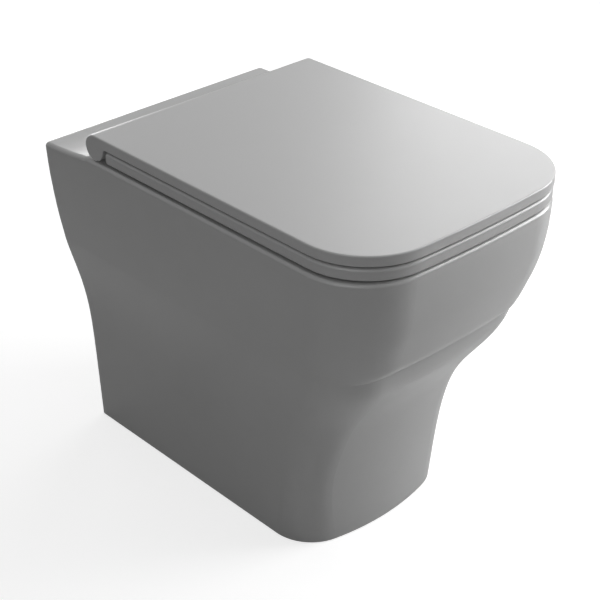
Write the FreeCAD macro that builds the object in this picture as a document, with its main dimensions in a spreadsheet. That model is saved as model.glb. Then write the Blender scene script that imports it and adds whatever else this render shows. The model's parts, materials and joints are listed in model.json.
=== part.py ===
# Rimless back-to-wall toilet with a soft-close, quick-release seat and lid.
# Frame: +Z up from the floor, front at -Y, wall at +Y, X to the right seen from the front, millimetres.
import FreeCAD
import Part
import Sketcher
import math
import os
from FreeCAD import Vector

# Driving dimensions, each one set by itself
SIZES = {
    # Whole object: lid front to wall face, and one overrun for every cut
    "overall_depth": 548.4,
    "overrun": 2.0,
    # Pan outside
    "rim_width": 354.0,
    "rim_height": 435.0,
    "rim_setback": 1.8,
    "crease_height": 290.0,
    "rim_corner": 85.0,
    "rim_crown": 1800.0,
    "rim_edge_round": 5.0,
    "foot_edge_round": 2.5,
    "skirt_wall": 14.0,
    "rim_thickness": 24.0,
    "deck_drop": 8.0,
    "deck_run": 84.0,
    # Bowl
    "bowl_width": 276.0,
    "bowl_depth": 245.0,
    "bowl_front_reach": 197.0,
    "bowl_rear_reach": 133.0,
    "bowl_corner": 80.0,
    "bowl_crown": 900.0,
    "bowl_wall": 15.0,
    "bowl_edge_round": 5.0,
    "sump_forward": 35.0,
    # Trapway and outlet
    "trap_bore": 35.0,
    "trap_wall": 11.0,
    "trap_bend": 48.0,
    "trap_bend_height": 112.0,
    "trap_rise": 50.0,
    "weir_bend": 70.0,
    "outlet_height": 180.0,
    "outlet_setback": 22.0,
    "spigot_radius": 51.0,
    "spigot_length": 42.0,
    # Flush inlet
    "inlet_height": 365.0,
    "inlet_bore": 27.5,
    "inlet_wall": 9.5,
    "inlet_setback": 44.0,
    # Plastic insert in the flush inlet, and the rubber seal behind it
    "insert_play": 0.3,
    "insert_wall": 3.0,
    "insert_reach": 26.0,
    "insert_length": 62.0,
    "window_depth": 15.0,
    "window_height": 32.0,
    "seal_bore": 22.3,
    "seal_length": 26.0,
    "seal_step": 2.0,
    "seal_collar": 24.0,
    "seal_collar_radius": 34.0,
    # Seat and lid stack, from the rim upwards
    "seat_gap": 2.4,
    "seat_thickness": 15.2,
    "lid_gap": 2.4,
    "lid_thickness": 13.0,
    "barrel_clearance": 0.8,
    # Lid
    "lid_width": 350.6,
    "lid_corner": 86.0,
    "lid_crown": 1800.0,
    "lid_edge_round": 1.8,
    "lid_border": 22.0,
    "lid_recess": 4.5,
    "recess_setback": 34.0,
    "recess_rear_corner": 14.0,
    "barrel_blend": 6.0,
    "cap_clearance": 0.6,
    "cap_wrap": 50.0,
    # Seat ring
    "seat_inset": 0.8,
    "seat_barrel_gap": 2.2,
    "seat_rear_corner": 5.0,
    "seat_edge_round": 4.0,
    "seat_front_band": 68.0,
    "seat_side_band": 66.5,
    "seat_rear_band": 79.0,
    "seat_hole_corner": 72.0,
    "seat_hole_crown": 600.0,
    "seat_hole_rear_corner": 62.0,
    "seat_inner_round": 6.0,
    "knuckle_radius": 12.8,
    "knuckle_length": 53.0,
    "knuckle_arm": 11.0,
    # Rubber pads
    "buffer_radius": 7.0,
    "buffer_play": 0.2,
    "buffer_side": 155.0,
    "buffer_rear": 62.0,
    "buffer_front": 128.0,
    "pad_radius": 5.0,
    "pad_inset": 12.0,
    "pad_front_side": 62.0,
    # Hinge posts and their fixing
    "hinge_setback": 101.7,
    "post_spacing": 155.0,
    "post_forward": 2.6,
    "post_hole": 8.0,
    "gasket_thickness": 1.0,
    "flange_thickness": 2.2,
    "flange_radius": 12.0,
    "post_radius": 5.5,
    "screw_radius": 3.0,
    "screw_fit": 0.2,
    "screw_head_radius": 4.8,
    "screw_head": 3.2,
    "head_drop": 5.6,
    "screw_tail": 3.0,
    "sleeve_fit": 0.3,
    "sleeve_bulge": 9.6,
    "sleeve_bulge_length": 15.0,
    "nut_radius": 5.8,
    "nut_height": 5.0,
    # Hinge blocks, pins, cartridges and release buttons
    "block_width": 24.0,
    "side_play": 0.5,
    "foot_clearance": 0.2,
    "foot_front": 12.0,
    "foot_rear": 6.8,
    "roof_gap": 0.4,
    "post_play": 0.3,
    "pin_radius": 3.5,
    "pin_fit": 0.05,
    "pin_inboard": 42.0,
    "pin_outboard": 38.0,
    "cartridge_radius": 9.0,
    "damper_length": 48.0,
    "bush_length": 30.0,
    "button_width": 10.0,
    "button_height": 5.0,
    "button_drop": 9.2,
    "button_length": 3.7,
    "button_proud": 1.5,
    "button_play": 0.3,
}

# Pan outside, as shares of height, half rim width, front reach, rim corner and rim crown:
# the pedestal from floor to crease, then the flank from crease to rim
PEDESTAL_SHARES = [
    (0 / 6, 0.700, 0.543, 0.706, 0.183),
    (1 / 6, 0.712, 0.545, 0.616, 0.220),
    (2 / 6, 0.724, 0.556, 0.583, 0.267),
    (3 / 6, 0.739, 0.591, 0.638, 0.321),
    (4 / 6, 0.770, 0.661, 0.725, 0.381),
    (5 / 6, 0.833, 0.779, 0.815, 0.530),
    (6 / 6, 0.907, 0.851, 0.785, 0.850),
]
FLANK_SHARES = [
    (0.00, 0.907, 0.851, 0.785, 0.850),
    (0.10, 0.922, 0.901, 0.936, 0.590),
    (0.22, 0.940, 0.926, 0.939, 0.607),
    (0.40, 0.962, 0.959, 0.957, 0.682),
    (0.62, 0.983, 0.986, 0.979, 0.786),
    (0.82, 0.996, 0.996, 0.991, 0.898),
    (1.00, 1.000, 1.000, 1.000, 1.000),
]

# Bowl at even levels from rim to sump, as shares of its half width, front reach, rear reach, corner, crown
BOWL_SHARES = [
    (1.000, 1.000, 1.000, 1.00, 1.00),
    (0.985, 0.985, 0.990, 1.00, 0.95),
    (0.915, 0.910, 0.940, 0.96, 0.75),
    (0.790, 0.780, 0.850, 0.88, 0.50),
    (0.620, 0.600, 0.700, 0.75, 0.30),
    (0.430, 0.395, 0.490, 0.59, 0.15),
    (0.270, 0.190, 0.280, 0.43, 0.06),
]

# Sizes worked out from the driving dimensions
REAR = "Sizes.overall_depth / 2"
RIM_REACH = "(Sizes.overall_depth / 2 - Sizes.rim_setback)"
RIM_HALF = "Sizes.rim_width / 2"
CEILING = "(Sizes.rim_height - Sizes.rim_thickness)"
STACK = "(Sizes.seat_gap + Sizes.seat_thickness + Sizes.lid_gap + Sizes.lid_thickness)"
BARREL = f"(({STACK} - Sizes.barrel_clearance) / 2)"
HINGE_Y = "(Sizes.overall_depth / 2 - Sizes.hinge_setback)"
HINGE_Z = f"(Sizes.rim_height + Sizes.barrel_clearance + {BARREL})"
LID_TOP = f"(Sizes.rim_height + {STACK})"
LID_BOTTOM = f"({LID_TOP} - Sizes.lid_thickness)"
SEAT_BOTTOM = "(Sizes.rim_height + Sizes.seat_gap)"
SEAT_TOP = f"({SEAT_BOTTOM} + Sizes.seat_thickness)"
SEAT_REAR = f"({HINGE_Y} - {BARREL} - Sizes.seat_barrel_gap)"
SEAT_HALF = "(Sizes.lid_width / 2 - Sizes.seat_inset)"
SEAT_FRONT = "(-Sizes.overall_depth / 2 + Sizes.seat_inset)"
CAP_RADIUS = "(Sizes.knuckle_radius + Sizes.cap_clearance)"
CARTRIDGE_BORE = "(Sizes.cartridge_radius + Sizes.pin_fit)"
POST_X = "Sizes.post_spacing / 2"
POST_Y = f"({HINGE_Y} - Sizes.post_forward)"
FLANGE_BOTTOM = "(Sizes.rim_height + Sizes.gasket_thickness)"
FLANGE_TOP = f"({FLANGE_BOTTOM} + Sizes.flange_thickness)"
HEAD_TOP = f"({HINGE_Z} - Sizes.head_drop)"
POST_TOP = f"({HEAD_TOP} - Sizes.screw_head)"
BLOCK_INNER = f"({POST_X} - Sizes.block_width / 2)"
BLOCK_OUTER = f"({POST_X} + Sizes.block_width / 2)"
KNUCKLE_END = f"({BLOCK_INNER} - Sizes.side_play)"
BARREL_START = f"({BLOCK_OUTER} + Sizes.side_play)"
SUMP_Y = "(-Sizes.sump_forward)"
SUMP_Z = "(Sizes.rim_height - Sizes.bowl_depth)"
TRAP_TOP = f"({SUMP_Z} + Sizes.bowl_wall)"
OUTLET_END = f"({REAR} - Sizes.outlet_setback)"
INLET_END = f"({REAR} - Sizes.inlet_setback)"
INLET_FACE = f"({SUMP_Y} + Sizes.bowl_rear_reach)"
RIM_TOP = "Sizes.rim_height"
FOOT_HALF = f"({RIM_HALF} * {PEDESTAL_SHARES[0][1]})"
OVERRUN = "Sizes.overrun"
TOLERANCE = 1e-4

doc = FreeCAD.newDocument("rimless_toilet")
sheet = doc.addObject("Spreadsheet::Sheet", "Sizes")
for row, (alias, number) in enumerate(SIZES.items(), start=1):
    sheet.set(f"A{row}", alias)
    sheet.set(f"B{row}", str(number))
    sheet.setAlias(f"B{row}", alias)
doc.recompute()


def value(expression):
    """The present number of an expression over the sheet."""
    return float(sheet.evalExpression(expression))


def new_body(label):
    """A body that becomes one sub-part under that label."""
    body = doc.addObject("PartDesign::Body", label)
    body.Label = label
    return body


def new_sketch(body, name, role="XY_Plane", offset="0"):
    """A sketch on one of the body's origin planes, shifted along the plane's normal."""
    sketch = body.newObject("Sketcher::SketchObject", name)
    support = next(feature for feature in body.Origin.OriginFeatures if feature.Role == role)
    sketch.AttachmentSupport = [(support, "")]
    sketch.MapMode = "FlatFace"
    sketch.setExpression("AttachmentOffset.Base.z", offset)
    return sketch


def bind(sketch, name, constraint, expression):
    """Add a dimension and tie it to the sheet."""
    index = sketch.addConstraint(constraint)
    sketch.renameConstraint(index, name)
    sketch.setExpression(f"Constraints.{name}", expression)


def d_outline(sketch, half, front, rear, corner, crown, rear_corner=None):
    """A D-shaped outline: straight sides and rear, two front corners and a crowned front."""
    w, f, b, r, c = (value(size) for size in (half, front, rear, corner, crown))
    k = value(rear_corner) if rear_corner else 0
    corner_y = f + c - math.sqrt((c - r) ** 2 - (w - r) ** 2)
    lean = math.atan2(corner_y - f - c, w - r)
    up = Vector(0, 0, 1)

    def arc(x, y, radius, start, end):
        return Part.ArcOfCircle(Part.Circle(Vector(x, y, 0), up, radius), start, end)

    def line(x0, y0, x1, y1):
        return Part.LineSegment(Vector(x0, y0, 0), Vector(x1, y1, 0))

    ring = [line(w, corner_y, w, b - k)]
    if rear_corner:
        ring.append(arc(w - k, b - k, k, 0, math.pi / 2))
    ring.append(line(w - k, b, k - w, b))
    if rear_corner:
        ring.append(arc(k - w, b - k, k, math.pi / 2, math.pi))
    ring.append(line(-w, b - k, -w, corner_y))
    ring.append(arc(r - w, corner_y, r, math.pi, math.pi - lean))
    ring.append(arc(0, f + c, c, math.pi - lean, 2 * math.pi + lean))
    ring.append(arc(w - r, corner_y, r, lean, 0))
    first = sketch.addGeometry(ring, False)[0]
    count = len(ring)
    right, front_left, nose, front_right = first, first + count - 3, first + count - 2, first + count - 1
    left = first + count - 4
    back = first + 2 if rear_corner else first + 1
    for step in range(count):
        here, there = first + step, first + (step + 1) % count
        square = not rear_corner and back in (here, there)
        kind = "Coincident" if square else "Tangent"
        sketch.addConstraint(Sketcher.Constraint(kind, here, 2, there, 1))
    sketch.addConstraint(Sketcher.Constraint("Vertical", right))
    sketch.addConstraint(Sketcher.Constraint("Vertical", left))
    sketch.addConstraint(Sketcher.Constraint("Symmetric", back, 1, back, 2, -2))
    sketch.addConstraint(Sketcher.Constraint("PointOnObject", nose, 3, -2))
    sketch.addConstraint(Sketcher.Constraint("Equal", front_left, front_right))
    if rear_corner:
        sketch.addConstraint(Sketcher.Constraint("Equal", first + 1, first + 3))
        bind(sketch, "rear_corner", Sketcher.Constraint("Radius", first + 1, k), rear_corner)
    bind(sketch, "half", Sketcher.Constraint("DistanceX", -1, 1, right, 2, w), half)
    bind(sketch, "rear", Sketcher.Constraint("DistanceY", -1, 1, back, 1, b), rear)
    bind(sketch, "corner", Sketcher.Constraint("Radius", front_right, r), corner)
    bind(sketch, "crown", Sketcher.Constraint("Radius", nose, c), crown)
    bind(sketch, "nose", Sketcher.Constraint("DistanceY", -1, 1, nose, 3, f + c), f"{front} + {crown}")


def circle(sketch, x, y, radius):
    """A circle in the sketch, placed and sized from the sheet."""
    tag = sketch.GeometryCount
    sketch.addGeometry(Part.Circle(Vector(value(x), value(y), 0), Vector(0, 0, 1), value(radius)), False)
    bind(sketch, f"x{tag}", Sketcher.Constraint("DistanceX", -1, 1, tag, 3, value(x)), x)
    bind(sketch, f"y{tag}", Sketcher.Constraint("DistanceY", -1, 1, tag, 3, value(y)), y)
    bind(sketch, f"r{tag}", Sketcher.Constraint("Radius", tag, value(radius)), radius)


def rectangle(sketch, x0, x1, y0, y1):
    """An upright rectangle in the sketch, each side placed from the sheet."""
    left, right, low, high = (value(size) for size in (x0, x1, y0, y1))
    corners = [Vector(left, low, 0), Vector(right, low, 0), Vector(right, high, 0), Vector(left, high, 0)]
    sides = [Part.LineSegment(p, q) for p, q in zip(corners, corners[1:] + corners[:1])]
    sketch.addGeometry(sides, False)
    for step in range(4):
        sketch.addConstraint(Sketcher.Constraint("Coincident", step, 2, (step + 1) % 4, 1))
        sketch.addConstraint(Sketcher.Constraint("Vertical" if step % 2 else "Horizontal", step))
    bind(sketch, "x0", Sketcher.Constraint("DistanceX", -1, 1, 0, 1, left), x0)
    bind(sketch, "x1", Sketcher.Constraint("DistanceX", -1, 1, 0, 2, right), x1)
    bind(sketch, "y0", Sketcher.Constraint("DistanceY", -1, 1, 0, 1, low), y0)
    bind(sketch, "y1", Sketcher.Constraint("DistanceY", -1, 1, 2, 1, high), y1)


def loft(body, kind, name, sections, ruled=False):
    """A loft of the given kind through the sketches, smooth or in straight bands."""
    feature = body.newObject(f"PartDesign::{kind}", name)
    feature.Profile = sections[0]
    feature.Sections = sections[1:]
    feature.Ruled = ruled
    return feature


def prism(body, kind, sketch, length, symmetric=False, reverse=False):
    """A pad or pocket of a sketch, one way or to both sides of its plane."""
    feature = body.newObject(f"PartDesign::{kind}", f"{sketch.Name}_{kind}")
    feature.Profile = sketch
    feature.SideType = "Symmetric" if symmetric else "One side"
    feature.Reversed = reverse
    feature.setExpression("Length", length)
    return feature


def round_edges(body, name, radius, wanted):
    """Fillet the edges of the body's tip that the test picks."""
    doc.recompute()
    tip = body.Tip
    names = [f"Edge{i}" for i, edge in enumerate(tip.Shape.Edges, start=1) if wanted(edge)]
    feature = body.newObject("PartDesign::Fillet", name)
    feature.Base = (tip, names)
    feature.setExpression("Radius", radius)
    return feature


def near(a, b):
    """Whether two lengths are the same within the modelling tolerance."""
    return abs(a - b) < TOLERANCE


def solid(kind, name, sizes, place, turn=None):
    """A Part primitive with its sizes and its place tied to the sheet."""
    thing = doc.addObject(f"Part::{kind}", name)
    if turn:
        thing.Placement = FreeCAD.Placement(Vector(), turn)
    for size, expression in sizes.items():
        thing.setExpression(size, expression)
    for axis, expression in zip("xyz", place):
        thing.setExpression(f"Placement.Base.{axis}", expression)
    return thing


ALONG_X = FreeCAD.Rotation(Vector(0, 1, 0), 90)
ALONG_Y = FreeCAD.Rotation(Vector(1, 0, 0), -90)


def rod(name, radius, length, place, turn=None):
    """A round bar from its place, upwards or along the turned axis."""
    return solid("Cylinder", name, {"Radius": radius, "Height": length}, place, turn)


def block(name, length, width, height, place):
    """A box from its lowest corner."""
    return solid("Box", name, {"Length": length, "Width": width, "Height": height}, place)


def join(label, things):
    """Fuse things into one."""
    thing = doc.addObject("Part::MultiFuse", label)
    thing.Shapes = things
    thing.Label = label
    return thing


def cut(label, base, tools):
    """Cut tools out of the base."""
    thing = doc.addObject("Part::Cut", label)
    thing.Base = base
    thing.Tool = tools[0] if len(tools) == 1 else join(f"{label}_tools", tools)
    thing.Label = label
    return thing


def group(label, things):
    """Separate identical pieces under one label."""
    thing = doc.addObject("Part::Compound", label)
    thing.Links = things
    thing.Label = label
    return thing


SIDES = (("left", -1), ("right", 1))


def ceramic_pan():
    """Skirted body: outside loft, hollow underneath, bowl, trapway, inlet and hinge holes."""
    body = new_body("ceramic_pan")

    def pan_stack(kind, name, rows, low, high, wall):
        """A loft through level sections of the pan, drawn in by the wall."""
        sections = []
        for step, (height, across, reach, corner, crown) in enumerate(rows):
            level = f"{low} + ({high} - {low}) * {height}"
            sketch = new_sketch(body, f"{name}_{step}", "XY_Plane", level)
            d_outline(
                sketch,
                f"{RIM_HALF} * {across} - {wall}",
                f"-{RIM_REACH} * {reach} + {wall}",
                f"{REAR} + {OVERRUN}",
                f"Sizes.rim_corner * {corner} - {wall}",
                f"Sizes.rim_crown * {crown} - {wall}",
            )
            sections.append(sketch)
        loft(body, kind, name, sections, ruled=kind == "SubtractiveLoft")

    crease, rim, floor = "Sizes.crease_height", "Sizes.rim_height", f"(-{OVERRUN})"
    inner = "Sizes.skirt_wall"
    pan_stack("AdditiveLoft", "pedestal", PEDESTAL_SHARES, "0", crease, "0")
    pan_stack("AdditiveLoft", "flank", FLANK_SHARES, crease, rim, "0")
    wall_side = new_sketch(body, "wall_side", "XZ_Plane", f"-({REAR})")
    half = f"({RIM_HALF} + {OVERRUN})"
    rectangle(wall_side, f"-{half}", half, floor, f"{rim} + {OVERRUN}")
    prism(body, "Pocket", wall_side, f"2 * {OVERRUN}")
    pan_stack("SubtractiveLoft", "pedestal_hollow", PEDESTAL_SHARES, floor, crease, inner)
    pan_stack("SubtractiveLoft", "flank_hollow", FLANK_SHARES, crease, CEILING, inner)

    def bowl_stack(kind, name, low, high, wall):
        """A loft through level sections of the bowl, evenly spaced and grown by the wall."""
        sections = []
        for step, (across, ahead, behind, corner, crown) in enumerate(BOWL_SHARES):
            level = f"{high} - ({high} - {low}) * {step} / {len(BOWL_SHARES) - 1}"
            sketch = new_sketch(body, f"{name}_{step}", "XY_Plane", level)
            round_size = f"Sizes.bowl_corner * {corner} + {wall}"
            d_outline(
                sketch,
                f"Sizes.bowl_width / 2 * {across} + {wall}",
                f"{SUMP_Y} - Sizes.bowl_front_reach * {ahead} - {wall}",
                f"{SUMP_Y} + Sizes.bowl_rear_reach * {behind} + {wall}",
                round_size,
                f"Sizes.bowl_crown * {crown} + {wall}",
                round_size,
            )
            sections.append(sketch)
        loft(body, kind, name, sections, ruled=kind == "AdditiveLoft")

    def trap_route():
        """Trapway centre line: down from the sump, round the bend, up to the weir and out to the rear."""
        sketch = new_sketch(body, "trap_route", "YZ_Plane")
        rise = math.radians(value("Sizes.trap_rise"))
        bend, weir = value("Sizes.trap_bend"), value("Sizes.weir_bend")
        start = Vector(value(SUMP_Y), value(TRAP_TOP), 0)
        pivot = Vector(start.x + bend, value("Sizes.trap_bend_height"), 0)
        low = pivot + Vector(bend * math.sin(rise), -bend * math.cos(rise), 0)
        exit_z = value("Sizes.outlet_height")
        top_z = exit_z - weir * (1 - math.cos(rise))
        top = low + Vector((top_z - low.y) / math.tan(rise), top_z - low.y, 0)
        crest = Vector(top.x + weir * math.sin(rise), exit_z - weir, 0)
        up = Vector(0, 0, 1)
        sketch.addGeometry(
            [
                Part.LineSegment(start, Vector(start.x, pivot.y, 0)),
                Part.ArcOfCircle(Part.Circle(pivot, up, bend), math.pi, 1.5 * math.pi + rise),
                Part.LineSegment(low, top),
                Part.ArcOfCircle(Part.Circle(crest, up, weir), math.pi / 2, math.pi / 2 + rise),
                Part.LineSegment(Vector(crest.x, exit_z, 0), Vector(value(OUTLET_END), exit_z, 0)),
            ],
            False,
        )
        for first, end, second, begin in ((0, 2, 1, 1), (1, 2, 2, 1), (2, 2, 3, 2), (3, 1, 4, 1)):
            sketch.addConstraint(Sketcher.Constraint("Tangent", first, end, second, begin))
        sketch.addConstraint(Sketcher.Constraint("Vertical", 0))
        sketch.addConstraint(Sketcher.Constraint("Horizontal", 4))
        bind(sketch, "start_y", Sketcher.Constraint("DistanceX", -1, 1, 0, 1, start.x), SUMP_Y)
        bind(sketch, "start_z", Sketcher.Constraint("DistanceY", -1, 1, 0, 1, start.y), TRAP_TOP)
        bind(sketch, "bend", Sketcher.Constraint("Radius", 1, bend), "Sizes.trap_bend")
        bind(sketch, "weir", Sketcher.Constraint("Radius", 3, weir), "Sizes.weir_bend")
        bind(sketch, "low", Sketcher.Constraint("DistanceY", -1, 1, 1, 3, pivot.y), "Sizes.trap_bend_height")
        bind(sketch, "rise", Sketcher.Constraint("Angle", -1, 1, 2, 1, rise), "Sizes.trap_rise * 1 deg")
        bind(sketch, "end_y", Sketcher.Constraint("DistanceX", -1, 1, 4, 2, value(OUTLET_END)), OUTLET_END)
        bind(sketch, "end_z", Sketcher.Constraint("DistanceY", -1, 1, 4, 2, exit_z), "Sizes.outlet_height")
        return sketch

    def trap_pipe(kind, name, route, radius):
        """A pipe of that radius along the trapway's centre line."""
        profile = new_sketch(body, f"{name}_profile", "XY_Plane", TRAP_TOP)
        circle(profile, "0", SUMP_Y, radius)
        feature = body.newObject(f"PartDesign::{kind}", name)
        feature.Profile = profile
        feature.Spine = (route, [f"Edge{i}" for i in range(1, 6)])
        return feature

    def rear_pipe(kind, name, height, radius, start, length):
        """A horizontal pipe that runs to the rear."""
        sketch = new_sketch(body, name, "XZ_Plane", f"-({start})")
        circle(sketch, "0", height, radius)
        return prism(body, kind, sketch, length, reverse=kind == "Pad")

    route = trap_route()
    outer_bowl_top = "(Sizes.rim_height - Sizes.rim_thickness / 2)"
    outer_bowl_bottom = f"({SUMP_Z} - Sizes.bowl_wall)"
    bowl_stack("AdditiveLoft", "bowl_wall", outer_bowl_bottom, outer_bowl_top, "Sizes.bowl_wall")
    trap_pipe("AdditivePipe", "trap", route, "Sizes.trap_bore + Sizes.trap_wall")
    spigot_start = f"{OUTLET_END} - Sizes.spigot_length"
    outlet = "Sizes.outlet_height"
    rear_pipe("Pad", "spigot", outlet, "Sizes.spigot_radius", spigot_start, "Sizes.spigot_length")
    flush = "Sizes.inlet_height"
    inlet_outside = "Sizes.inlet_bore + Sizes.inlet_wall"
    rear_pipe("Pad", "inlet", flush, inlet_outside, INLET_FACE, f"{INLET_END} - {INLET_FACE}")
    bowl_stack("SubtractiveLoft", "bowl", SUMP_Z, f"({rim} + {OVERRUN})", "0")
    trap_pipe("SubtractivePipe", "trap_way", route, "Sizes.trap_bore")
    inlet_run = f"{INLET_END} - {SUMP_Y} + {OVERRUN}"
    rear_pipe("Pocket", "inlet_way", flush, "Sizes.inlet_bore", SUMP_Y, inlet_run)

    # The deck behind the hinge sinks in one hollow arc that ends level at the wall
    deck = new_sketch(body, "deck", "YZ_Plane")
    drop, run, rear, rim_z = (value(size) for size in ("Sizes.deck_drop", "Sizes.deck_run", REAR, rim))
    dish = "((Sizes.deck_run ^ 2 + Sizes.deck_drop ^ 2) / (2 * Sizes.deck_drop))"
    far, high = rear + value(OVERRUN), rim_z + value(OVERRUN)
    lip = Vector(rear - run, rim_z, 0)
    heel = Vector(rear, rim_z - drop, 0)
    centre = heel + Vector(0, value(dish), 0)
    sweep = math.atan2(lip.y - centre.y, lip.x - centre.x)
    arc = Part.ArcOfCircle(Part.Circle(centre, Vector(0, 0, 1), value(dish)), sweep, -math.pi / 2)
    corners = [heel, Vector(far, heel.y, 0), Vector(far, high, 0), Vector(lip.x, high, 0), lip]
    deck.addGeometry([arc] + [Part.LineSegment(p, q) for p, q in zip(corners, corners[1:])], False)
    deck.addConstraint(Sketcher.Constraint("Tangent", 0, 2, 1, 1))
    for step in range(1, 5):
        deck.addConstraint(Sketcher.Constraint("Coincident", step, 2, (step + 1) % 5, 1))
        deck.addConstraint(Sketcher.Constraint("Horizontal" if step % 2 else "Vertical", step))
    bind(deck, "heel_y", Sketcher.Constraint("DistanceX", -1, 1, 1, 1, rear), REAR)
    bind(deck, "heel_z", Sketcher.Constraint("DistanceY", -1, 1, 1, 1, heel.y), f"{rim} - Sizes.deck_drop")
    bind(deck, "far", Sketcher.Constraint("DistanceX", -1, 1, 1, 2, far), f"{REAR} + {OVERRUN}")
    bind(deck, "high", Sketcher.Constraint("DistanceY", -1, 1, 3, 1, high), f"{rim} + {OVERRUN}")
    bind(deck, "lip_y", Sketcher.Constraint("DistanceX", -1, 1, 4, 2, lip.x), f"{REAR} - Sizes.deck_run")
    bind(deck, "lip_z", Sketcher.Constraint("DistanceY", -1, 1, 4, 2, lip.y), rim)
    prism(body, "Pocket", deck, f"Sizes.rim_width + 2 * {OVERRUN}", symmetric=True)

    holes = new_sketch(body, "hinge_holes", "XY_Plane", f"{rim} + {OVERRUN}")
    for _, sign in SIDES:
        circle(holes, f"{sign} * {POST_X}", POST_Y, "Sizes.post_hole")
    prism(body, "Pocket", holes, f"Sizes.rim_thickness + 2 * {OVERRUN}")

    # Glaze-softened edges: rim, deck and wall corners together, then the bowl's mouth and the foot
    rim_half, mouth_half, foot_half = (value(size) for size in (RIM_HALF, "Sizes.bowl_width / 2", FOOT_HALF))
    rim_front = -value(RIM_REACH)
    foot_front = rim_front * PEDESTAL_SHARES[0][2]
    inside_face = rim_half - value("Sizes.skirt_wall") / 2
    mouth_limit = (mouth_half + rim_half) / 2
    hinge_holes_front = value(f"{POST_Y} - Sizes.post_hole")

    def level_at(box, height):
        return near(box.ZMin, height) and near(box.ZMax, height)

    def far_side(box):
        return max(abs(box.XMin), abs(box.XMax))

    def is_outline(box, half, front):
        return near(far_side(box), half) and box.YLength > box.XLength / 2 or near(box.YMin, front)

    def is_outer(edge):
        box = edge.BoundBox
        at_wall = near(box.YMin, rear) and near(box.YMax, rear)
        if level_at(box, rim_z):
            return is_outline(box, rim_half, rim_front)
        if level_at(box, rim_z - drop):
            return at_wall
        if near(box.ZMax, rim_z) and near(box.ZMin, rim_z - drop):
            return box.YLength > box.XLength
        upper = box.ZLength > box.XLength and far_side(box) > inside_face
        lower = near(box.ZMin, 0) and near(min(abs(box.XMin), abs(box.XMax)), foot_half)
        return at_wall and (upper or lower)

    def is_mouth(edge):
        box = edge.BoundBox
        return level_at(box, rim_z) and far_side(box) < mouth_limit and box.YMax < hinge_holes_front

    def is_foot(edge):
        box = edge.BoundBox
        return level_at(box, 0) and is_outline(box, foot_half, foot_front)

    round_edges(body, "outer_rounds", "Sizes.rim_edge_round", is_outer)
    round_edges(body, "mouth_rounds", "Sizes.bowl_edge_round", is_mouth)
    round_edges(body, "foot_rounds", "Sizes.foot_edge_round", is_foot)
    return body


def flush_insert():
    """Plastic insert in the inlet: a short tube with a closed front and a window to each side."""
    radius = "(Sizes.inlet_bore - Sizes.insert_play)"
    front = f"({INLET_FACE} - Sizes.insert_reach)"
    tube = rod("insert_tube", radius, "Sizes.insert_length", ("0", front, "Sizes.inlet_height"), ALONG_Y)
    inside = rod(
        "insert_inside",
        f"{radius} - Sizes.insert_wall",
        "Sizes.insert_length",
        ("0", f"{front} + Sizes.insert_wall", "Sizes.inlet_height"),
        ALONG_Y,
    )
    sill = "Sizes.inlet_height - Sizes.window_height / 2"
    window = block(
        "insert_window",
        f"2 * {radius} + 2 * {OVERRUN}",
        "Sizes.window_depth",
        "Sizes.window_height",
        (f"-{radius} - {OVERRUN}", f"{front} + Sizes.insert_wall", sill),
    )
    return cut("flush_distributor", tube, [inside, window])


def inlet_seal():
    """Rubber sleeve in the inlet spigot, with a collar behind it that is bored for the flush pipe."""
    radius = "(Sizes.inlet_bore - Sizes.insert_play)"
    start = f"({INLET_END} - Sizes.seal_length)"
    step = f"({INLET_END} + Sizes.seal_step)"
    end = f"({INLET_END} + Sizes.seal_collar)"

    def level_rod(name, size, low, high):
        return rod(name, size, f"{high} - {low}", ("0", low, "Sizes.inlet_height"), ALONG_Y)

    sleeve = level_rod("seal_sleeve", radius, start, end)
    collar = level_rod("seal_rim", "Sizes.seal_collar_radius", INLET_END, end)
    throat = level_rod("seal_throat", f"{radius} - Sizes.insert_wall", f"({start} - {OVERRUN})", step)
    bore = level_rod("seal_way", "Sizes.seal_bore", step, f"({end} + {OVERRUN})")
    return cut("inlet_seal", join("seal_whole", [sleeve, collar]), [throat, bore])


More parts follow.
